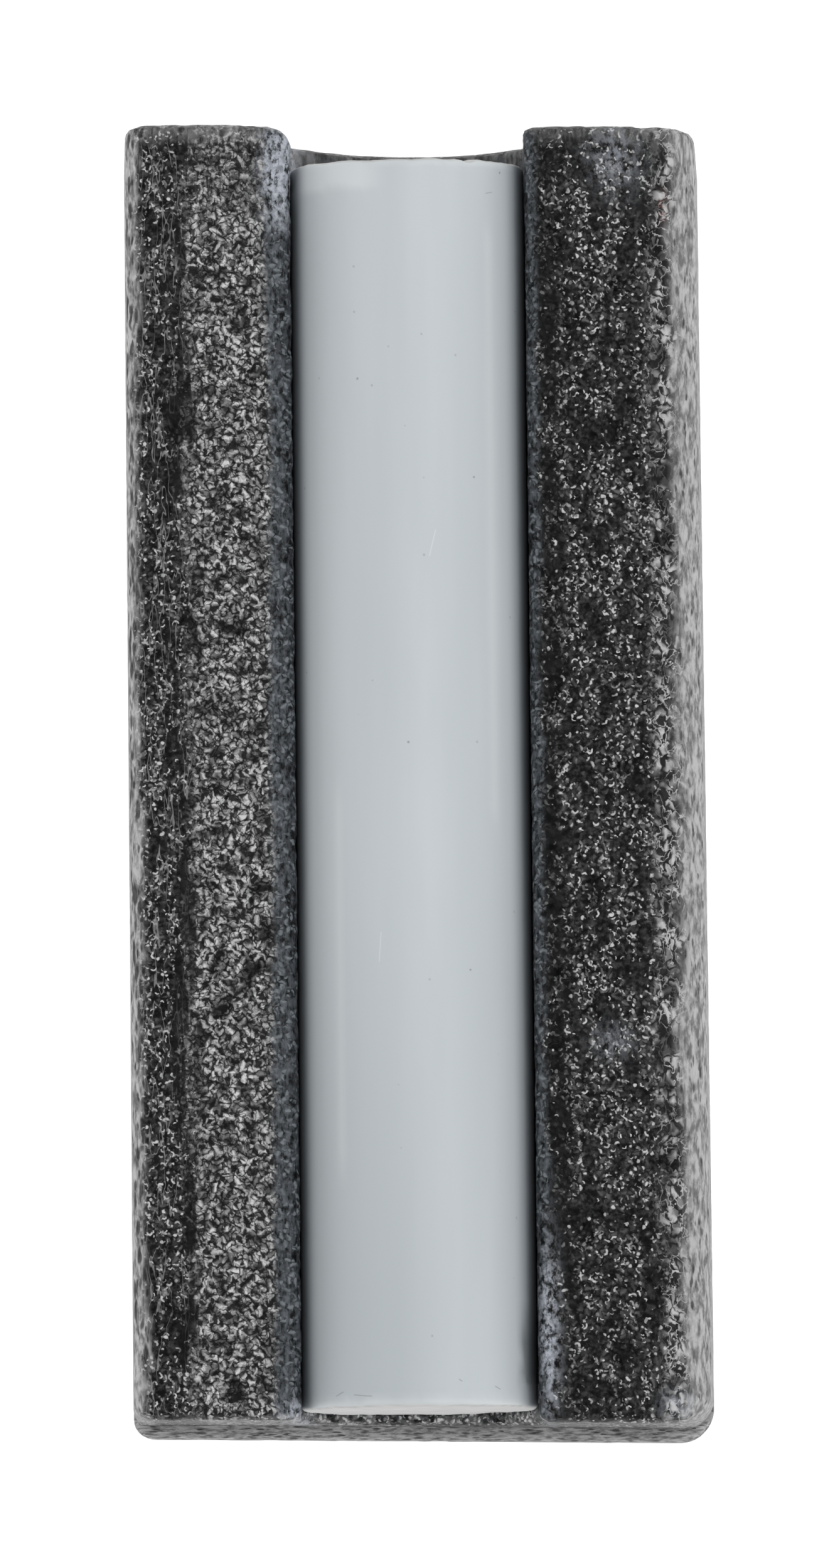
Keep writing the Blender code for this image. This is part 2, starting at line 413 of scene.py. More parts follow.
def foam_masks(points, normals):
    """How much of each kind of surface there is at each point of the block, from 0 to 1.

    skin is the smoother outside, painted paler as its sheen, inner is the bluish lips beside the rod,
    and floor is the groove's floor. From skin to lip, the left rail is speckled cells and then leaf,
    which is crumpled cell walls. The right rail is web, which is torn pale film, then speckled cells,
    and then void, which is smooth dark foam. Leaf and web are painted lighter, and void beside the
    right lip darker, partly for how the light from the right falls on the crowned rails.
    """
    x, y, z = points.T
    wander = noise_at(points * [1, 0.3, 1], 4.0) - 0.5
    ripple = noise_at(points * [1, 0.6, 1], 1.3) - 0.5
    far = smoothstep(2.2, 0.5, y.max() - y + 3.0 * wander)
    near = smoothstep(0.4, 0.05, y - y.min() + 1.4 * ripple)
    right = smoothstep(24.3, 25.9, x + 2.0 * wander + 1.6 * ripple)
    left = smoothstep(24.9, 26.1, -x + 1.6 * wander + 1.6 * ripple)
    skin = np.maximum(np.maximum(right, left), np.maximum(0.3 * far, 0.15 * near))
    lip = np.where(x > 0, 12.2, 13.1) - 1.0 * wander - 1.2 * ripple
    inner = smoothstep(0.4, -0.4, np.abs(x) - lip) * smoothstep(0.85, 0.3, np.abs(normals[:, 1]))
    smooth_dark = 0.85 * smoothstep(15.4, 13.6, x + 3.0 * wander) * (x > 0) * (ripple < 0.06)
    leaf = smoothstep(-21.6, -19.8, x + 2.6 * wander) * (x < 0)
    leaf *= 1 - 0.35 * smoothstep(48, 60, y)
    web = smoothstep(22.1, 23.8, x + 3.6 * wander + 1.4 * ripple)
    dust = np.maximum(patches(points, DUST_MM), 0.1 * inner)
    red = patches(points, (RED_MARK_MM,))
    floor = smoothstep(16.5, 14.0, z) * (np.abs(x) < 12) * (z > 6) * (normals[:, 2] > 0.25)
    return {"skin": skin, "inner": inner * (1 - floor), "leaf": leaf, "web": web, "dust": dust,
            "red": red, "floor": floor, "void": smooth_dark * (1 - floor)}


def foam_relief(points, normals, masks):
    """How far each point moves along its normal: open cells, larger voids and the skin's flecks."""
    skin, inner = masks["skin"], masks["inner"]
    to_end = np.minimum(points[:, 1].max() - points[:, 1], points[:, 1] - points[:, 1].min())
    rough = (1 - 0.93 * skin) * (1 - 0.8 * inner) * (0.25 + 0.75 * smoothstep(0.2, 1.6, to_end))
    distance, colour = voronoi_at(points, CELL_MM)
    bowl = 1 - np.clip(distance / 0.62, 0, 1) ** 2
    depth = CELL_DEPTH_MM * (0.3 + 1.0 * colour[:, 0]) * bowl
    void_distance, void_colour = voronoi_at(points + 7.0, VOID_MM)
    void_distance += 0.5 * (noise_at(points, 1.6) - 0.5)
    void = smoothstep(0.42, 0.2, void_distance) * (void_colour[:, 1] > 0.8)
    distance, colour = voronoi_at(points * [1, 0.3, 1], SKIN_FLECK_MM)
    fleck = smoothstep(0.45, 0.1, distance) * (colour[:, 2] > 0.45)
    grain = noise_at(points, GRAIN_MM) - 0.5
    push = -rough * (depth + VOID_DEPTH_MM * void) + GRAIN_HEIGHT_MM * rough * grain
    push -= SKIN_FLECK_DEPTH_MM * skin * fleck + LIP_DEPTH_MM * inner * bowl
    under = smoothstep(-0.5, -0.9, normals[:, 2])
    return push * (1 - under), void * rough


def make_foam(material):
    points, faces = swept_block()
    foam = new_mesh_object("foam_body", points, faces)
    normals = normals_of(foam)
    masks = foam_masks(points, normals)
    push, void = foam_relief(points, normals, masks)
    set_points(foam, points + normals * push[:, None])
    store(foam, "rest", points, "FLOAT_VECTOR")
    masks["void"] = np.maximum(masks["void"], 0.75 * void)
    for name, values in masks.items():
        store(foam, name, values)
    foam.data.materials.append(material)
    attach(foam, BODY)
    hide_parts("foam_channel", "pad_adhesive")
    return foam


# ---------------------------------------------------------------- pad

def pad_outline(low, high):
    """The pad's plan: a rectangle with a rounding of its own at each corner."""
    radii = {(side, end): radius for side, end, radius in CORNERS_MM}
    outline = []
    for side, end, start in ((1, 1, 0), (-1, 1, 90), (-1, -1, 180), (1, -1, 270)):
        radius = radii[side, end] + PAD_CORNER_EXTRA_MM
        cx, cy = (high[0] * side, high[1] if end > 0 else low[1])
        centre = (cx - math.copysign(radius, cx), cy - math.copysign(radius, cy))
        outline.append(arc(centre, radius, start, start + 90)[::8])
    outline = np.concatenate(outline)
    closed = np.concatenate([outline, outline[:1]])
    return resample([(closed, PAD_STEP_MM)])[:-1]


def pad_levels(bottom, top):
    """Heights of the pad's rings from its underside up, each with how far it lies inside the plan."""
    levels = [(bottom, PAD_CHAMFER_MM), (bottom + PAD_CHAMFER_MM, 0.0)]
    shoulder = top - PAD_EDGE_RADIUS_MM
    levels += [(z, 0.0) for z in np.arange(bottom + 0.6, shoulder, PAD_LEVEL_MM)]
    for angle in np.radians([0, 30, 60, 90]):
        levels.append((shoulder + PAD_EDGE_RADIUS_MM * math.sin(angle),
                       PAD_EDGE_RADIUS_MM * (1 - math.cos(angle))))
    return levels + [(top, inset) for inset in (0.9, 1.3, 1.7)]


def pad_relief(points, facing):
    """How far each point moves along its normal: flecks and ripples along the pad's edge."""
    along = points * [0.3, 0.3, 1.6]
    distance, colour = voronoi_at(along, PAD_FLECK_MM)
    fleck = smoothstep(0.5, 0.1, distance) * (colour[:, 0] > 0.4)
    flat = np.abs(facing[:, 2]) > 0.95
    ripple = noise_at(along, 1.0) - 0.5
    return np.where(flat, 0, PAD_RIPPLE_MM * ripple - PAD_FLECK_DEPTH_MM * fleck)


def make_pad(material):
    low, high = (np.array(corner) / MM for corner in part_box("wiping_pad"))
    low[1] -= NEAR_REACH_MM
    outline = pad_outline(low, high)
    normals = outline_normals(outline)
    rings = [np.insert(outline - normals * inset, 2, z, axis=1)
             for z, inset in pad_levels(low[2], high[2])]
    size = len(outline)
    points = np.concatenate(rings)
    faces = []
    for row in range(len(rings) - 1):
        for k in range(size):
            a, b = row * size + k, row * size + (k + 1) % size
            faces.append((a, b, b + size, a + size))
    faces.append(tuple(range(size))[::-1])
    faces.append(tuple((len(rings) - 1) * size + k for k in range(size)))
    pad = new_mesh_object("pad_sheet", points, faces)
    facing = normals_of(pad)
    set_points(pad, points + facing * pad_relief(points, facing)[:, None])
    store(pad, "rest", points, "FLOAT_VECTOR")
    pad.data.materials.append(material)
    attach(pad, BODY)
    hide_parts("wiping_pad")
    return pad


# ---------------------------------------------------------------- rod

def rod_marks(points, low, high):
    """Where the rod is paler (two lengthwise streaks, its ends and a chipped patch), and its painted
    shadow near its near end.
    """
    x, y, z = points.T
    top = z > (low[2] + high[2]) / 2
    pale = np.zeros(len(points))
    for middle, start, end in ROD_STREAKS_MM:
        along = smoothstep(start - 3, start, y) * smoothstep(end + 3, end, y)
        pale = np.maximum(pale, 0.5 * along * np.exp(-((x - middle) / ROD_STREAK_WIDTH_MM) ** 2))
    uneven = noise_at(points, 1.5) - 0.5
    pale = np.maximum(pale, 0.9 * smoothstep(1.1, 0.2, y - low[1] + 0.9 * uneven))
    pale = np.maximum(pale, 0.7 * smoothstep(0.9, 0.2, high[1] - y + 0.9 * uneven))
    chip = smoothstep(3.4, 2.2, high[1] - y + 2.0 * uneven) * smoothstep(-1.5, -4.5, x)
    edge = smoothstep(9.2, 10.3, x + 1.2 * uneven)
    shadow = edge * smoothstep(-57.6, -56.8, y + 1.5 * uneven) * smoothstep(-50.0, -52.5, y)
    return np.maximum(pale, 0.9 * chip) * top, shadow * top


def rod_rows(radius, near_end, far_end):
    """Radius and place along Y of each ring, from the middle of one end to the middle of the other."""
    edge = ROD_EDGE_RADIUS_MM
    profile = [(0.0, 0.0)]
    profile += [(r, 0.0) for r in np.linspace(1.0, radius - edge, 12)]
    profile += [(radius - edge + edge * math.sin(a), edge * (1 - math.cos(a)))
                for a in np.radians([30, 60, 90])]
    profile += [(radius, depth) for depth in (0.8, 1.4, 2.0, 2.4, 3.2, 4.5, 6.0, 8.0)]
    near = [(r, near_end + depth) for r, depth in profile]
    far = [(r, far_end - depth) for r, depth in profile][::-1]
    start, stop = near[-1][1] + ROD_STATION_MM, far[0][1] - ROD_STATION_MM / 2
    return near + [(radius, y) for y in np.arange(start, stop, ROD_STATION_MM)] + far


def turned(rows, axis_height):
    """Points and faces of the solid that the rows make when turned about the rod's axis."""
    angle = 2 * math.pi * np.arange(ROD_SIDES) / ROD_SIDES
    points, faces, ring_start = [], [], []
    for r, y in rows:
        ring_start.append(len(points))
        if r == 0:
            points.append((0, y, axis_height))
            continue
        points += [(r * math.cos(a), y, axis_height + r * math.sin(a)) for a in angle]
    for row in range(len(rows) - 1):
        first, second = ring_start[row], ring_start[row + 1]
        for k in range(ROD_SIDES):
            n = (k + 1) % ROD_SIDES
            if rows[row][0] == 0:
                faces.append((first, second + k, second + n))
            elif rows[row + 1][0] == 0:
                faces.append((first + n, first + k, second))
            else:
                faces.append((first + k, second + k, second + n, first + n))
    return np.array(points, dtype=float), faces


def sawn_ends(points, low, high):
    """The rod's points with its ends leaning and uneven, as roughly sawn."""
    x, y, z = points.T
    height = (2 * z - low[2] - high[2]) / (high[2] - low[2])
    near_weight = smoothstep(6.0, 0.0, y - low[1])
    far_weight = smoothstep(6.0, 0.0, high[1] - y)
    ragged = noise_at(points * [1, 0, 1] + 3.0, 3.0) - 0.5
    chip = smoothstep(0.55, 0.8, noise_at(points * [1, 0.4, 1] + 40.0, 2.2))
    y = y + near_weight * (0.1 * height - 0.1 + 0.3 * ragged)
    y = y - far_weight * (0.85 * np.clip(height, -1, 1) - 0.4 + 0.45 * ragged + 0.4 * chip)
    return np.stack([x, y, z], 1)


def make_rod(material):
    low, high = (np.array(corner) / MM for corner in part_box("grip_rod"))
    points, faces = turned(rod_rows((high[2] - low[2]) / 2, low[1], high[1]), (high[2] + low[2]) / 2)
    rod = new_mesh_object("rod_solid", sawn_ends(points, low, high), faces)
    rod.data.shade_smooth()
    rod.data.set_sharp_from_angle(angle=math.radians(40))
    store(rod, "rest", points, "FLOAT_VECTOR")
    pale, shadow = rod_marks(points, low, high)
    store(rod, "pale", pale)
    store(rod, "shadow", shadow)
    rod.data.materials.append(material)
    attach(rod, ROD)
    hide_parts("grip_rod")
    return rod


# ---------------------------------------------------------------- materials

class Shader:
    """A Principled material with short calls for the nodes that feed it."""

    def __init__(self, name, **constants):
        self.material = bpy.data.materials.new(name)
        self.material.use_nodes = True
        self.tree = self.material.node_tree
        self.principled = self.tree.nodes["Principled BSDF"]
        for key, value in constants.items():
            self.principled.inputs[key.replace("_", " ")].default_value = value

    def node(self, kind, properties=None, **inputs):
        made = self.tree.nodes.new(kind)
        for key, value in (properties or {}).items():
            setattr(made, key, value)
        for key, value in inputs.items():
            self.feed(made.inputs[int(key[1:]) if key[0] == "i" and key[1:].isdigit() else key], value)
        return made

    def feed(self, socket, value):
        if isinstance(value, bpy.types.NodeSocket):
            self.tree.links.new(value, socket)
        else:
            socket.default_value = value

    def attribute(self, name, output="Fac"):
        return self.node("ShaderNodeAttribute", {"attribute_name": name}).outputs[output]

    def math(self, operation, *values):
        made = self.node("ShaderNodeMath", {"operation": operation})
        for socket, value in zip(made.inputs, values):
            self.feed(socket, value)
        return made.outputs[0]

    def vector(self, operation, *values):
        made = self.node("ShaderNodeVectorMath", {"operation": operation})
        for socket, value in zip(made.inputs, values):
            self.feed(socket, value)
        return made.outputs[0]

    def scaled(self, vector, factor):
        made = self.node("ShaderNodeVectorMath", {"operation": "SCALE"})
        self.feed(made.inputs[0], vector)
        self.feed(made.inputs["Scale"], factor)
        return made.outputs[0]

    def ramp(self, value, low, high, out_low=0.0, out_high=1.0):
        made = self.node("ShaderNodeMapRange", {"interpolation_type": "SMOOTHSTEP"})
        for key, number in (("Value", value), ("From Min", low), ("From Max", high),
                            ("To Min", out_low), ("To Max", out_high)):
            self.feed(made.inputs[key], number)
        return made.outputs[0]

    def mix(self, factor, a, b):
        made = self.node("ShaderNodeMix", {"data_type": "RGBA"})
        self.feed(made.inputs[0], factor)
        self.feed(made.inputs[6], a)
        self.feed(made.inputs[7], b)
        return made.outputs[2]

    def blend(self, factor, a, b):
        made = self.node("ShaderNodeMix", {"data_type": "FLOAT"})
        self.feed(made.inputs[0], factor)
        self.feed(made.inputs[2], a)
        self.feed(made.inputs[3], b)
        return made.outputs[0]

    def off_middle(self, value):
        return self.math("ABSOLUTE", self.math("SUBTRACT", value, 0.5))

    def length(self, vector):
        return self.node("ShaderNodeVectorMath", {"operation": "LENGTH"}, i0=vector).outputs["Value"]

    def parts(self, vector):
        return self.node("ShaderNodeSeparateXYZ", Vector=vector).outputs

    def noise(self, vector, size, detail=2.0, roughness=0.5):
        return self.node("ShaderNodeTexNoise", Vector=vector, Scale=1 / size, Detail=detail,
                         Roughness=roughness)

    def voronoi(self, vector, size, feature="F1"):
        return self.node("ShaderNodeTexVoronoi", {"feature": feature}, Vector=vector, Scale=1 / size)


def grey(value, blue=0.0):
    return (value, value * (1 + 0.55 * blue), value * (1 + blue), 1.0)


def warped(s, place, size, amount):
    """The place moved about by noise, so that cells in it lose their even outlines."""
    shift = s.vector("SUBTRACT", s.noise(place, size).outputs["Color"], (0.5, 0.5, 0.5))
    return s.vector("ADD", place, s.scaled(shift, amount))


def askew(s, place):
    """The place turned, so that the rows of Blender's cells don't run along the block's faces."""
    return s.node("ShaderNodeMapping", Vector=place, Rotation=(0.35, 0.25, 0.6)).outputs[0]


def cells(s, place, size):
    """Voronoi cells: their random colour's parts, and the place's offset from its cell's middle."""
    place = askew(s, place)
    cell = s.voronoi(place, size)
    pick = s.node("ShaderNodeSeparateColor", Color=cell.outputs["Color"]).outputs
    offset = s.vector("SUBTRACT", place, cell.outputs["Position"])
    return pick, offset, cell.outputs["Color"]


def heading(s, pick, lean=0.0):
    """A random direction in the plane for each cell, leaning towards -X or +X."""
    turn = s.node("ShaderNodeCombineXYZ", X=s.math("SUBTRACT", pick[0], 0.5 - lean),
                  Y=s.math("SUBTRACT", pick[1], 0.5))
    return s.vector("NORMALIZE", turn.outputs[0])


def dot(s, a, b):
    return s.node("ShaderNodeVectorMath", {"operation": "DOT_PRODUCT"}, i0=a, i1=b).outputs["Value"]


def glints(s, place, size, chance):
    """Small painted highlights, bright dots and crescents of uneven brightness, one in some of the
    cells of this size.
    """
    pick, offset, _ = cells(s, place, size)
    away = s.length(offset)
    side = s.ramp(dot(s, heading(s, pick, 0.12), s.vector("NORMALIZE", offset)), 0.0, 0.5)
    ring = s.math("MULTIPLY", s.ramp(away, 0.20 * size, 0.29 * size),
                  s.ramp(away, 0.50 * size, 0.40 * size))
    crescent = s.math("MULTIPLY", ring, side)
    spot = s.ramp(away, 0.30 * size, 0.18 * size)
    shape = s.blend(s.math("GREATER_THAN", pick[2], 0.75), crescent, spot)
    luck = s.math("FRACT", s.math("MULTIPLY", pick[2], 9.0))
    shown = s.ramp(luck, s.math("SUBTRACT", 1.0, chance), 1.0)
    return s.math("MULTIPLY", shape, shown)


def folds(s, place, size, dimmest):
    """Crumpled film: each facet carries painted shading, from light to dark across itself and mostly
    lighter towards +X, with a painted dark crease round it.
    """
    pick, offset, colour = cells(s, place, size)
    across = dot(s, offset, heading(s, pick, 0.1))
    shade = s.ramp(across, -0.24 * size, 0.06 * size, 0.03, 1.0)
    shade = s.math("MULTIPLY", shade, s.ramp(across, 0.44 * size, 0.14 * size, 0.3, 1.0))
    edge = s.voronoi(askew(s, place), size, "DISTANCE_TO_EDGE").outputs["Distance"]
    shade = s.math("MULTIPLY", shade, s.ramp(edge, 0.02, 0.12, 0.05, 1.0))
    return s.math("MULTIPLY", shade, s.ramp(pick[2], 0.05, 0.75, dimmest, 1.0)), colour


def leaves(s, rest):
    """Painted light on crumpled cell walls, with painted shade in the dark creases and pits between
    them, from 0 to 1.
    """
    place = warped(s, warped(s, rest, 1.0, 0.8), 0.35, 0.3)
    large, colour = folds(s, place, 0.84, 0.3)
    small, _ = folds(s, s.vector("ADD", place, (3.0, 5.0, 1.0)), 0.55, 0.2)
    light = s.math("MAXIMUM", large, s.math("MULTIPLY", small, 0.8))
    fold = s.off_middle(s.noise(warped(s, rest, 0.5, 0.4), 1.1, 1.0).outputs[0])
    light = s.math("MULTIPLY", light, s.ramp(fold, 0.0, 0.03, 0.1, 1.0))
    crinkle = s.off_middle(s.noise(place, 0.42, 1.0).outputs[0])
    light = s.math("MULTIPLY", light, s.ramp(crinkle, 0.0, 0.05, 0.45, 1.0))
    pit = s.noise(rest, 1.6, 2.0).outputs[0]
    return s.math("MULTIPLY", light, s.ramp(pit, 0.32, 0.5, 0.15, 1.0)), colour


def torn_web(s, rest):
    """Pale film with thin light ridges and some dark openings, from 0 to 1, painted lighter partly for
    the light falling on it from the right.
    """
    place = warped(s, warped(s, s.vector("MULTIPLY", rest, (1.0, 0.75, 1.0)), 1.2, 1.1), 0.4, 0.35)
    film, _ = folds(s, place, 0.95, 0.35)
    ridge = s.off_middle(s.noise(place, 0.8, 2.0).outputs[0])
    film = s.math("MAXIMUM", s.math("MULTIPLY", film, 0.85), s.ramp(ridge, 0.035, 0.0, 0.0, 0.9))
    patch = s.noise(s.vector("MULTIPLY", rest, (1.0, 0.7, 1.0)), 1.5, 2.0).outputs[0]
    return s.math("MULTIPLY", film, s.ramp(patch, 0.36, 0.54, 0.15, 1.0))


def skin_and_sheen_colour(s, rest):
    """The outer skin: smoother, painted paler as its sheen, with short dark flecks drawn out along the
    block.
    """
    along = s.vector("MULTIPLY", rest, (1.0, 0.3, 1.0))
    pick, offset, _ = cells(s, warped(s, along, 0.5, 0.3), 0.36)
    left = s.ramp(s.parts(rest)[0], -10.0, -24.0)
    strength = s.ramp(pick[0], s.blend(left, 0.4, 0.2), 0.95, 0.0, s.blend(left, 0.8, 0.9))
    dark = s.math("MULTIPLY", s.ramp(s.length(offset), 0.19, 0.08), strength)
    pick, offset, _ = cells(s, warped(s, along, 0.7, 0.5), 0.62)
    pit = s.math("MULTIPLY", s.ramp(s.length(offset), 0.34, 0.2), s.ramp(pick[0], 0.35, 0.6))
    high = s.ramp(s.parts(rest)[2], 18.0, 25.0, 0.35, 0.85)
    dark = s.math("MAXIMUM", dark, s.math("MULTIPLY", pit, s.math("MULTIPLY", left, high)))
    streak = s.noise(warped(s, along, 1.2, 0.6), 0.5, 5.0, 0.65).outputs[0]
    skin = s.mix(s.ramp(streak, 0.36, 0.62), grey(0.15), s.mix(left, grey(0.44), grey(0.50)))
    return s.mix(dark, skin, grey(0.03))


def slots(s, rest, across):
    """Long dark splits in the left rail, between its speckled outer part and its crumpled inner part."""
    split = s.noise(warped(s, s.vector("MULTIPLY", rest, (1.0, 0.14, 1.0)), 1.0, 0.5), 1.3, 2.0).outputs[0]
    zone = s.ramp(s.math("ABSOLUTE", s.math("ADD", across, 21.3)), 2.2, 0.9)
    return s.math("MULTIPLY", s.ramp(split, 0.5, 0.6, 0.0, 0.8), zone)


def groove_floor(s, rest, open_cells):
    """Open cells with pale torn corners at the near end, and lengthwise stripes towards the far end."""
    parts = s.parts(rest)
    stripe = s.noise(s.vector("MULTIPLY", rest, (1.0, 0.3, 1.0)), 0.8, 3.0).outputs[0]
    stripes = s.mix(s.ramp(stripe, 0.38, 0.64), grey(0.04), grey(0.15))
    corner = s.ramp(s.math("ABSOLUTE", parts[0]), 6.5, 10.5)
    torn = s.noise(warped(s, rest, 0.8, 0.8), 1.1, 3.0).outputs[0]
    torn = s.ramp(torn, s.blend(corner, 0.47, 0.37), s.blend(corner, 0.55, 0.47))
    film, _ = folds(s, warped(s, rest, 0.6, 0.6), 0.6, 0.3)
    near = s.mix(torn, open_cells, s.mix(film, grey(0.08), grey(0.58)))
    return s.mix(s.ramp(parts[1], -40.0, 20.0), near, stripes)


def speckle(s, rest):
    """Open cells: their dark base, the glints on it, the finer rims and the mottling behind them."""
    cluster = s.noise(s.vector("MULTIPLY", rest, (1.0, 0.4, 1.0)), 1.7, 2.0).outputs[0]
    chance = s.ramp(cluster, 0.36, 0.6, 0.25, 1.3)
    spots = s.math("MAXIMUM", glints(s, warped(s, rest, 0.5, 0.35), 0.74, chance),
                   glints(s, warped(s, s.vector("ADD", rest, (9.0, 2.0, 4.0)), 0.4, 0.3), 0.48, chance))
    mottle = s.noise(rest, 0.55, 3.0, 0.6).outputs[0]
    base = s.mix(s.ramp(mottle, 0.42, 0.72), grey(0.005), grey(0.042))
    rims, _ = folds(s, warped(s, s.vector("ADD", rest, (2.0, 8.0, 3.0)), 0.5, 0.5), 0.62, 0.0)
    base = s.mix(s.math("MULTIPLY", rims, s.ramp(cluster, 0.36, 0.6, 0.1, 0.9)), base, grey(0.13))
    return base, spots, rims, mottle


def strands(s, rest, across):
    """Thin pale ridges drawn out along the outer part of the left rail."""
    left = s.ramp(across, -16.0, -19.0, 0.0, 0.7)
    place = warped(s, s.vector("MULTIPLY", rest, (1.0, 0.22, 1.0)), 1.0, 0.7)
    return s.math("MULTIPLY", s.ramp(s.off_middle(s.noise(place, 1.1, 2.0).outputs[0]), 0.016, 0.002), left)


def groove_lip(s, rest, across, rims):
    """The smoother bluish lip beside the rod, with painted shade darkening it towards the gap."""
    lip = s.noise(s.vector("MULTIPLY", rest, (1.0, 0.4, 1.0)), 0.5, 4.0, 0.7).outputs[0]
    lip = s.mix(s.ramp(lip, 0.44, 0.6), grey(0.003, 0.3), grey(0.056, 0.28))
    # Painted shade: darker towards the gap beside the rod.
    lip = s.mix(s.ramp(s.math("ABSOLUTE", across), 10.7, 12.3, 0.3, 1.0), grey(0.004), lip)
    return s.mix(rims, lip, grey(0.14, 0.2))


def dusted(s, rest, dust, mottle):
    """How much chalk dust shows, thinner over the dark hollows of the mottling."""
    haze = s.noise(s.vector("MULTIPLY", rest, (1.0, 0.6, 1.0)), 0.6, 4.0, 0.7).outputs[0]
    haze = s.math("MULTIPLY", dust, s.ramp(haze, 0.4, 0.62))
    return s.math("MINIMUM", haze, s.ramp(mottle, 0.35, 0.6, 0.45, 0.95))


def foam_colour(s, rest):
    mask = {n: s.attribute(n) for n in ("skin", "inner", "leaf", "web", "dust", "void", "red", "floor")}
    across = s.parts(rest)[0]
    base, spots, rims, mottle = speckle(s, rest)
    leaf, facet = leaves(s, rest)
    # The glints are painted highlights on the cell walls.
    colour = s.mix(spots, base, grey(0.56))
    colour = s.mix(strands(s, rest, across), colour, grey(0.26))
    # Leaf and web are painted lighter, and void darker, partly for how the light from the right falls on the
    # crowned rails.
    colour = s.mix(mask["leaf"], colour, s.mix(leaf, grey(0.008), grey(0.60)))
    colour = s.mix(mask["web"], colour, s.mix(torn_web(s, rest), grey(0.014), grey(0.60)))
    colour = s.mix(slots(s, rest, across), colour, grey(0.007))
    colour = s.mix(s.math("MULTIPLY", mask["void"], 0.9), colour, grey(0.006))
    colour = s.mix(mask["skin"], colour, skin_and_sheen_colour(s, rest))
    colour = s.mix(mask["inner"], colour, groove_lip(s, rest, across, rims))
    colour = s.mix(mask["floor"], colour, groove_floor(s, rest, s.mix(spots, base, grey(0.5))))
    colour = s.mix(dusted(s, rest, mask["dust"], mottle), colour, DUST_COLOUR)
    colour = s.mix(s.math("MULTIPLY", mask["red"], s.ramp(mottle, 0.4, 0.6)), colour, RED_COLOUR)
    quiet = s.math("SUBTRACT", 1.0, s.math("MAXIMUM", mask["skin"], mask["inner"]))
    return colour, facet, quiet, mask["skin"]


def foam_material():
    s = Shader("foam_cells", Specular_IOR_Level=0.06)
    rest = s.attribute("rest", "Vector")
    colour, facet, quiet, skin = foam_colour(s, rest)
    s.feed(s.principled.inputs["Base Color"], colour)
    tilt = s.scaled(s.vector("SUBTRACT", facet, (0.5, 0.5, 0.5)), 0.8)
    normal = s.node("ShaderNodeNewGeometry").outputs["Normal"]
    tilted = s.vector("NORMALIZE", s.vector("ADD", normal, s.scaled(tilt, quiet)))
    s.feed(s.principled.inputs["Normal"], tilted)
    s.feed(s.principled.inputs["Roughness"], s.blend(skin, 0.4, 0.65))
    return s.material


def pad_material():
    """Streaked grey sheet, its streaks running along each edge, with chalk on its wiping face."""
    s = Shader("pad_edge", Roughness=0.75, Specular_IOR_Level=0.2)
    rest = s.attribute("rest", "Vector")
    parts = s.parts(rest)
    at_end = s.ramp(s.math("ABSOLUTE", parts[1]), 59.0, 60.0)
    stretch = s.node("ShaderNodeCombineXYZ", X=s.blend(at_end, 1.3, 0.25),
                     Y=s.blend(at_end, 0.25, 1.3), Z=1.3)
    along = s.vector("MULTIPLY", rest, stretch.outputs[0])
    streak = s.noise(warped(s, along, 1.0, 0.4), 0.3, 5.0, 0.7).outputs[0]
    pick, offset, _ = cells(s, warped(s, along, 0.4, 0.25), 0.27)
    dark = s.math("MULTIPLY", s.ramp(s.length(offset), 0.15, 0.06), s.ramp(pick[0], 0.3, 0.9, 0.0, 0.9))
    base = s.mix(s.ramp(streak, 0.36, 0.62), grey(0.13), grey(0.44))
    colour = s.mix(dark, base, PAD_FLECK_COLOUR)
    chalk = s.noise(s.vector("MULTIPLY", rest, (0.5, 0.12, 1.0)), 4.0, 5.0, 0.6).outputs[0]
    under = s.ramp(parts[2], 0.4, 0.05)
    colour = s.mix(s.math("MULTIPLY", under, s.ramp(chalk, 0.42, 0.66, 0.1, 0.75)), colour, grey(0.62))
    s.feed(s.principled.inputs["Base Color"], colour)
    return s.material


def scratch(s, rest, start, end, width):
    """A thin straight mark on the rod's top between two places in X and Y."""
    start, end = Vector(start), Vector(end)
    length = (end - start).length
    along = (end - start) / length
    offset = s.vector("SUBTRACT", rest, (start.x, start.y, 0.0))
    here = [dot(s, offset, axis) for axis in ((along.x, along.y, 0.0), (-along.y, along.x, 0.0))]
    within = s.math("MULTIPLY", s.ramp(here[0], -0.05, 0.05), s.ramp(here[0], length + 0.05, length - 0.05))
    across = s.ramp(s.math("ABSOLUTE", here[1]), width, width * 0.4)
    return s.math("MULTIPLY", within, across)


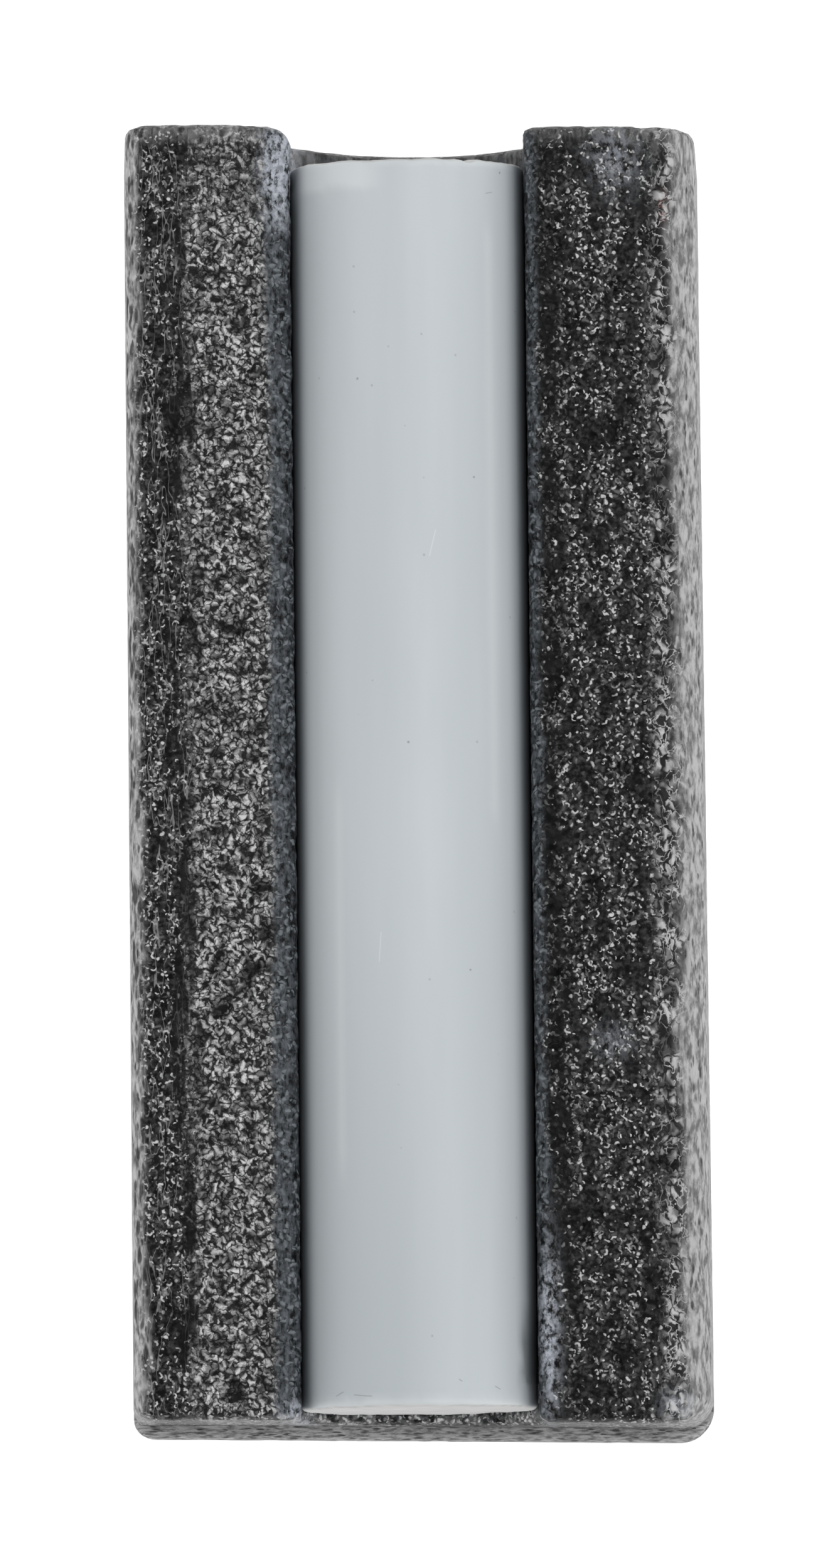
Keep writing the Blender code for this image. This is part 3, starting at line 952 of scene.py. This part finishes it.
def rod_material():
    s = Shader("rod_plastic", Specular_IOR_Level=0.4)
    rest = s.attribute("rest", "Vector")
    parts = s.parts(rest)
    cloud = s.noise(s.vector("MULTIPLY", rest, (1, 0.12, 1)), 7.0, 3.0).outputs[0]
    base = s.mix(s.ramp(cloud, 0.3, 0.7), ROD_DARKER, ROD_LIGHTER)
    # Darker towards the rod's near left part.
    near_left = s.math("MULTIPLY", s.ramp(parts[1], 0.0, -55.0, 0.0, 0.75), s.ramp(parts[0], 7.0, -2.0))
    base = s.mix(near_left, base, ROD_NEAR_LEFT_DARK)
    colour = s.mix(s.math("MULTIPLY", s.attribute("pale"), 0.45), base, ROD_PALE)
    # Painted shade: darker down both flanks, where the rod goes down between the foam's lips.
    gap_shade = s.ramp(s.math("ABSOLUTE", parts[0]), 9.0, 10.9, 0.0, 0.55)
    colour = s.mix(gap_shade, colour, ROD_GAP_SHADE)
    # A painted shadow darkens the rod's right edge near its near end.
    colour = s.mix(s.math("MULTIPLY", s.attribute("shadow"), 0.55), colour, ROD_PAINTED_SHADOW)
    for size, chance, strength in ((3.4, 0.55, 0.5), (1.6, 0.85, 0.3)):
        speck = s.voronoi(rest, size)
        pick = s.node("ShaderNodeSeparateColor", Color=speck.outputs["Color"]).outputs
        spot = s.math("MULTIPLY", s.ramp(speck.outputs["Distance"], 0.16 / size, 0.07 / size),
                      s.math("GREATER_THAN", pick[0], chance))
        colour = s.mix(s.math("MULTIPLY", spot, strength), colour, ROD_SPECK)
    for start, end, shade in SCRATCHES_MM:
        mark = scratch(s, rest, start, end, SCRATCH_WIDTH_MM)
        colour = s.mix(s.math("MULTIPLY", mark, 0.4), colour, grey(shade))
    facing = s.parts(s.node("ShaderNodeNewGeometry").outputs["Normal"])
    end = s.ramp(s.math("ABSOLUTE", facing[1]), 0.4, 0.85)
    saw = s.noise(s.vector("MULTIPLY", rest, (0.15, 1.0, 1.0)), 0.6, 4.0).outputs[0]
    sawn = s.mix(s.ramp(saw, 0.3, 0.7), SAWN_DARKER, SAWN_LIGHTER)
    s.feed(s.principled.inputs["Base Color"], s.mix(end, colour, sawn))
    rough = s.ramp(s.noise(s.vector("MULTIPLY", rest, (1, 0.1, 1)), 1.2, 4.0).outputs[0], 0.3, 0.7, 0.42, 0.5)
    s.feed(s.principled.inputs["Roughness"], s.blend(end, rough, 0.8))
    return s.material


# ---------------------------------------------------------------- stage

def make_floor():
    mesh = bpy.data.meshes.new("floor")
    square = ((-1, -1), (1, -1), (1, 1), (-1, 1))
    corners = [(x * FLOOR_HALF, y * FLOOR_HALF, FLOOR_DROP) for x, y in square]
    mesh.from_pydata(corners, [], [(0, 1, 2, 3)])
    floor = bpy.data.objects.new("floor", mesh)
    bpy.context.scene.collection.objects.link(floor)
    s = Shader("floor_white", Base_Color=(0.9, 0.9, 0.9, 1), Roughness=0.9)
    s.principled.inputs["Emission Color"].default_value = (1, 1, 1, 1)
    s.principled.inputs["Emission Strength"].default_value = 0.55
    mesh.materials.append(s.material)


def area_light(name, location, size, watts):
    """A rectangular light that points at the middle of the eraser's underside."""
    light = bpy.data.lights.new(name, "AREA")
    light.shape = "RECTANGLE"
    light.size, light.size_y = size
    light.energy = watts
    obj = bpy.data.objects.new(name, light)
    obj.location = location
    obj.rotation_euler = (-Vector(location)).to_track_quat("-Z", "Y").to_euler()
    bpy.context.scene.collection.objects.link(obj)


def make_stage():
    make_floor()
    world = bpy.data.worlds.new("studio")
    world.use_nodes = True
    background = world.node_tree.nodes["Background"]
    background.inputs["Color"].default_value = (1, 1, 1, 1)
    background.inputs["Strength"].default_value = 0.6
    bpy.context.scene.world = world
    area_light("overhead", (0.38, 0.05, 1.05), (1.2, 1.2), 7.4)
    area_light("left_fill", (-0.9, 0.0, 0.75), (0.8, 1.0), 1.2)
    bpy.context.scene.view_settings.view_transform = "Standard"


def make_camera():
    camera = bpy.data.cameras.new("photo_angle")
    camera.sensor_width = SENSOR_MM
    camera.lens = LENS_MM
    camera.clip_start, camera.clip_end = 0.05, 10.0
    obj = bpy.data.objects.new("photo_angle", camera)
    obj.location = CAMERA_PLACE
    obj.rotation_euler = CAMERA_TURN
    bpy.context.scene.collection.objects.link(obj)
    bpy.context.scene.camera = obj


make_stage()
make_camera()
make_foam(foam_material())
make_pad(pad_material())
make_rod(rod_material())
